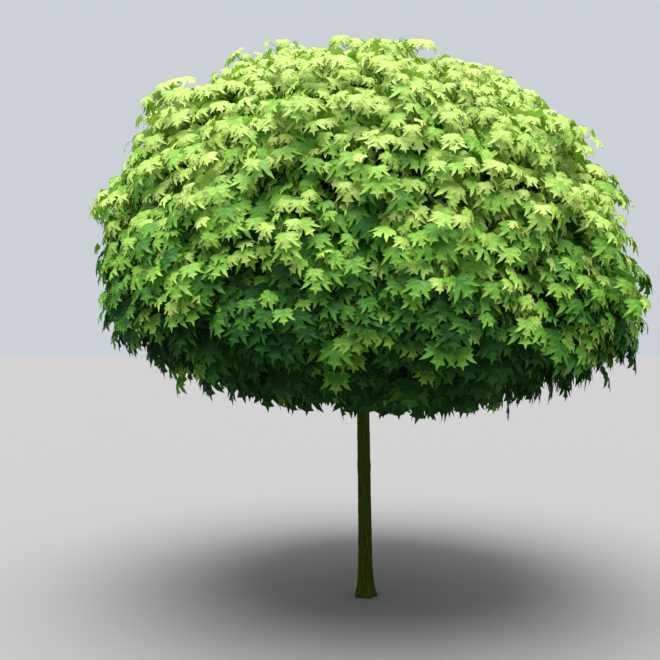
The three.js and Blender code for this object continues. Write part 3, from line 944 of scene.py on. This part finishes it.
def hang_leaves(layer):
    """The leaves of one layer: their feet, the places and the axes of their blades, and their lengths."""
    grown, inner = levels[layer["level"]], layer["inner"]
    twig, k = leaves_on(grown, layer["leaves"])
    seed = twig + layer["first"]
    age = np.minimum(k // 2, OLDEST_INNER if inner else OLDEST_OUTER)
    normal = grown["normals"][twig]
    foot = leaf_feet(grown, layer["feet"], twig, k, seed)
    shoot, outwards = shoot_ways(grown, twig)
    radial, across = stalk_ways(shoot, seed, k)
    stalk = between(STALK_LENGTH, seed, "stalk length", k) * (1 + STALK_AGEING * age)
    blade_foot = foot + unit(radial + STALK_FORWARD * shoot + STALK_RISE) * stalk[:, None]
    length = between(LEAF_LENGTH, seed, "leaf length", k) * (YOUNG_SIZE + LEAF_AGEING * age)
    length = length * (SIDE_SIZE - SHADE_GROWTH * normal[:, 2])
    unfolding = (chance(seed, "unfolding") < UNFOLDING) & (k < UNFOLDING_LEAVES)
    unfolding = unfolding & (normal[:, 2] > UNFOLDING_ABOVE) & (not inner)
    length = np.where(unfolding, UNFOLDING_SIZE * length, length) * (INNER_GROWTH if inner else 1)
    axes = blade_axes(shoot, outwards, radial, across, seed, k)
    hung = {"k": k, "seed": seed, "owner": grown["owner"][twig], "share": grown["share"][twig]}
    hung.update(normal=normal, foot=foot, blade_foot=blade_foot, axes=axes, length=length)
    hung.update(inner=np.full(len(twig), inner), unfolding=unfolding)
    return hung


hangings = [hang_leaves(layer) for layer in LAYERS]
leaves = {key: np.concatenate([hung[key] for hung in hangings]) for key in hangings[0]}
print("leaves:", len(leaves["k"]), "of", leaves["length"].mean().round(3), "m")

# %% [markdown]
# ## Blades and stalks
# No leaf is flat. Each blade droops from its heart towards its edges, folds up or down along its middle
# rib, and tilts a little to one side. Those under the crown are flatter. Bending each copy of the template
# by its own numbers does this for all leaves at once. The stalks are thin and straight.

# %% Shape the blades and their stalks
DROOP = (0.1, 0.5)
FLATTER_BELOW = 0.6
DROOP_ASIDE = 0.6
FOLD = (-0.2, 0.16)
CURL = (-0.12, 0.12)
STALK_RADIUS = 0.0011
STALK_SIDES = 3


def blades(chosen, template):
    shape, faces = template
    seed, k = leaves["seed"][chosen], leaves["k"][chosen]
    x, y, z = shape.T
    flatter = 1 - FLATTER_BELOW * np.clip(-leaves["normal"][chosen][:, 2], 0, 1)
    droop = (between(DROOP, seed, "leaf droop", k) * flatter)[:, None]
    fold = between(FOLD, seed, "leaf fold", k)[:, None]
    curl = between(CURL, seed, "leaf curl", k)[:, None]
    from_heart = DROOP_ASIDE * x**2 + (y - RIBS[HEART][1]) ** 2
    height = z - droop * from_heart + fold * np.abs(x) + curl * x
    local = np.stack([np.broadcast_to(x, height.shape), np.broadcast_to(y, height.shape), height], axis=-1)
    local = local * leaves["length"][chosen][:, None, None]
    points = np.einsum("nij,njk->nik", local, leaves["axes"][chosen])
    points = points + leaves["blade_foot"][chosen][:, None]
    offsets = np.arange(len(seed))[:, None, None] * len(shape)
    return points.reshape(-1, 3), (faces[None] + offsets).reshape(-1, 3)


def stalks(chosen):
    lines = np.stack([leaves["foot"][chosen], leaves["blade_foot"][chosen]], axis=1)
    return tubes(lines, np.full(lines.shape[:2], STALK_RADIUS), STALK_SIDES)


print("one leaf and its stalk:", len(leaf_faces) + len(stalks([0])[1]), "faces")

# %% [markdown]
# ## Which leaf gets which green
# The leaf greens paint the crown's light and shade. The young leaves on top are a little lighter of their own
# and get the most painted light, and further down the crown they get more painted shade, deepest underneath.
# Further back on a shoot the leaves are older and a little deeper, and where the crown is shaded they also
# get painted shade from the leaves in front. Twigs set back from the outline get painted shade too, and the
# inner leaves get the deepest. The right side gets a little painted light, the lowest leaves get painted
# light for the light from the ground, and a third of the sprays lower down get painted light, as if they
# caught the sun. A smooth run of colour would look false, so each spray and each leaf also differs by chance,
# and within a leaf the stalk's end gets painted shade and the tips painted light. Tint 0 is the lightest, and
# a larger number is a deeper green.

# %% One tint for each leaf
SIDE_TINT = 1.8
# painted light on the top of the crown, lighter the more it faces up
TOP_PAINTED_LIGHT = 9
# painted light on the right side of the crown
RIGHT_PAINTED_LIGHT = 0.8
# painted shade on the underside, from where the crown faces lower than this, up to the deepest tint
LOW_FACING = 0.2
LOW_POWER = 1.5
UNDERSIDE_PAINTED_SHADE = 50
DEEPEST_FACING = 18.5
# painted light on the lowest leaves, for the light from the ground
GROUND_FACING = -0.5
GROUND_PAINTED_LIGHT = 7
SHADE_FACING = 0.8
# older pairs are a little deeper, and where the crown is shaded they get painted shade from the leaves in
# front
PAIR_DEEPENING = 1
PAIR_PAINTED_SHADE = 2.9
# painted shade on twigs set back from the outline
FRONT_SHARE = 0.95
BEHIND_PAINTED_SHADE = 50
# the deepest painted shade, for the inner leaves
INNER_PAINTED_SHADE = 16
SPRAY_MIX = 6
LEAF_MIX = 5
# painted light on a share of the low sprays, as if they caught the sun
PAINTED_LIT_SHARE = 0.34
PAINTED_LIT_TINT = 2
PAINTED_LIT_DEEPENING = 8
PAINTED_LIT_WITHIN = 0.8
PAINTED_LIT_MIX = 0.5


def shade_of(height):
    """How much shade a leaf gets where the crown faces up by height: none on top."""
    return np.clip(SHADE_FACING - height, 0, 1)


def painted_shading_by_facing(height, aside):
    """The tint of a place on the crown: painted light where it faces up and to the right, painted shade where
    it faces down, up to the deepest tint, and painted light from the ground on the lowest leaves.
    """
    low = np.clip(LOW_FACING - height, 0, 1) ** LOW_POWER
    tint = SIDE_TINT - TOP_PAINTED_LIGHT * height - RIGHT_PAINTED_LIGHT * aside + UNDERSIDE_PAINTED_SHADE * low
    from_ground = np.clip(GROUND_FACING - height, 0, 1)
    return np.minimum(tint, DEEPEST_FACING) - GROUND_PAINTED_LIGHT * from_ground


def leaf_tints(chosen):
    seed, k = leaves["seed"][chosen], leaves["k"][chosen]
    aside, _, height = leaves["normal"][chosen].T
    inner = leaves["inner"][chosen]
    mixed = SPRAY_MIX * (chance(seed, "spray tint") - 0.5) + LEAF_MIX * (chance(seed, "leaf tint", k) - 0.5)
    # age and painted shade down the shoot, and painted shade on twigs behind the outline
    within = (PAIR_DEEPENING + PAIR_PAINTED_SHADE * shade_of(height)) * (k // 2)
    within = within + BEHIND_PAINTED_SHADE * np.clip(FRONT_SHARE - leaves["share"][chosen], 0, 1)
    # inner leaves take the inner painted shade in place of the shade down the shoot
    tint = painted_shading_by_facing(height, aside) + np.where(inner, INNER_PAINTED_SHADE, within) + mixed
    # painted light: a third of the low outer sprays are made lighter
    painted_lit = (chance(seed, "painted light") < PAINTED_LIT_SHARE) & (height < LOW_FACING) & ~inner
    painted_lit_cap = PAINTED_LIT_TINT - PAINTED_LIT_DEEPENING * height + PAINTED_LIT_WITHIN * within + PAINTED_LIT_MIX * mixed
    tint = np.where(painted_lit, np.minimum(tint, painted_lit_cap), tint)
    return np.clip(np.round(tint), 0, TINTS - 1).astype(int)


print("mean tint of all leaves:", leaf_tints(slice(None)).mean().round(1), "of", TINTS)

# %% One tint for each face of a leaf
# painted shade at a leaf's stalk end and painted light at its tips, stronger where the crown is shaded
TIP_PAINTED_LIGHT = 4
SHADED_TIP_PAINTED_LIGHT = 6
AMBER_FROM = 0.05

face_middles = leaf_points[leaf_faces].mean(axis=1)
from_stalk = np.linalg.norm(face_middles[:, :2], axis=1)
toward_stalk = from_stalk.mean() - from_stalk


def outer_face_tints(chosen):
    """Painted shade at the stalk's end, painted light at the tips, and amber on the outer half of unfolding
    leaves.
    """
    shade = shade_of(leaves["normal"][chosen][:, 2:])
    painted_tip_light = (TIP_PAINTED_LIGHT + SHADED_TIP_PAINTED_LIGHT * shade) * toward_stalk
    green = np.clip(leaf_tints(chosen)[:, None] + np.round(painted_tip_light).astype(int), 0, TINTS - 1)
    amber = leaves["unfolding"][chosen][:, None] & (toward_stalk < AMBER_FROM)
    return np.where(amber, AMBER, green).ravel()


print("faces that can turn amber:", (toward_stalk < AMBER_FROM).sum(), "of", len(toward_stalk))

# %% Join the leaves of each mass
for number, mass in enumerate(masses):
    mine = leaves["owner"] == number
    outer = np.flatnonzero(mine & ~leaves["inner"])
    inner = np.flatnonzero(mine & leaves["inner"])
    parts = [blades(outer, leaf_template()), blades(inner, inner_template()), stalks(outer)]
    points, faces = joined(parts)
    inner_tints = np.repeat(leaf_tints(inner), len(inner_faces))
    tints = np.concatenate([outer_face_tints(outer), inner_tints, np.full(len(parts[2][1]), STALK)])
    name, replaced = f"leaves_{mass['name']}", f"foliage_{mass['name']}"
    piece(name, points, faces, leaf_materials, replaced, tints, smooth=False)

# %% [markdown]
# ## Studio
# The tree stands on a wide pale floor under a soft sky. A broad lamp overhead and a world that is bright
# above and dark below light the crown's top and leave its underside dark, as daylight does, and the painted
# light and shade of the leaf greens add to this. Behind the tree the camera sees a backdrop with a colour of
# its own, which is pale without lighting the crown's sides.

# %% Floor
FLOOR_SIZE = 80
FLOOR_COLOUR = (0.2, 0.2, 0.197)
FLOOR_ROUGHNESS = 0.9

floor_material, _, floor_shader = node_material("studio_floor", FLOOR_ROUGHNESS)
floor_shader.inputs["Base Color"].default_value = (*FLOOR_COLOUR, 1)
bpy.ops.mesh.primitive_plane_add(size=FLOOR_SIZE)
floor = bpy.context.object
floor.name = "studio_floor"
floor.data.materials.append(floor_material)
print("floor:", FLOOR_SIZE, "m wide")

# %% Sky and backdrop
# colours of the sky's light, from the horizon to straight up
SKY = [(0.0, (0.06, 0.065, 0.07)), (0.35, (0.16, 0.17, 0.18)), (1.0, (1.0, 1.0, 1.0))]
SKY_STRENGTH = 2.4
BACKDROP = (0.6, 0.64, 0.68, 1)

world = bpy.context.scene.world or bpy.data.worlds.new("studio")
bpy.context.scene.world = world
world.use_nodes = True
sky = world.node_tree
light = sky.nodes["Background"]
place = sky.nodes.new("ShaderNodeTexCoord")
height_of = sky.nodes.new("ShaderNodeSeparateXYZ")
sky.links.new(place.outputs["Generated"], height_of.inputs["Vector"])
sky.links.new(ramp(sky, height_of.outputs["Z"], SKY), light.inputs["Color"])
light.inputs["Strength"].default_value = SKY_STRENGTH
backdrop = add_node(sky, "ShaderNodeBackground", Color=BACKDROP)
seen = sky.nodes.new("ShaderNodeLightPath")
either = sky.nodes.new("ShaderNodeMixShader")
sky.links.new(seen.outputs["Is Camera Ray"], either.inputs["Fac"])
sky.links.new(light.outputs["Background"], either.inputs[1])
sky.links.new(backdrop.outputs["Background"], either.inputs[2])
sky.links.new(either.outputs["Shader"], sky.nodes["World Output"].inputs["Surface"])
print("sky of", len(SKY), "colours, strength", SKY_STRENGTH)

# %% Lamp
# strength, then degrees: how wide the lamp looks, its tilt from straight down, and its turn
LAMP_STRENGTH = 5.8
LAMP_WIDTH = 50
LAMP_TILT = 14
LAMP_TURN = -12

lamp_data = bpy.data.lights.new("sky_light", "SUN")
lamp_data.energy = LAMP_STRENGTH
lamp_data.angle = math.radians(LAMP_WIDTH)
lamp = bpy.data.objects.new("sky_light", lamp_data)
lamp.rotation_euler = (math.radians(LAMP_TILT), 0, math.radians(LAMP_TURN))
bpy.context.scene.collection.objects.link(lamp)
bpy.context.scene.view_settings.view_transform = "Standard"

# %% [markdown]
# ## Camera
# The photographer stood about five and a half metres away, with the lens at eye height. The horizon crosses
# the picture almost at its middle, so the camera is nearly level.

# %% Camera at the photographer's place
EYE = (-0.21, -5.4, 1.6)
LENS = 49.85
PITCH_DOWN = 0.31

camera_data = bpy.data.cameras.new("camera")
camera_data.lens = LENS
camera = bpy.data.objects.new("camera", camera_data)
camera.location = EYE
camera.rotation_euler = (math.radians(90 - PITCH_DOWN), 0, 0)
bpy.context.scene.collection.objects.link(camera)
bpy.context.scene.camera = camera
print("camera at", EYE)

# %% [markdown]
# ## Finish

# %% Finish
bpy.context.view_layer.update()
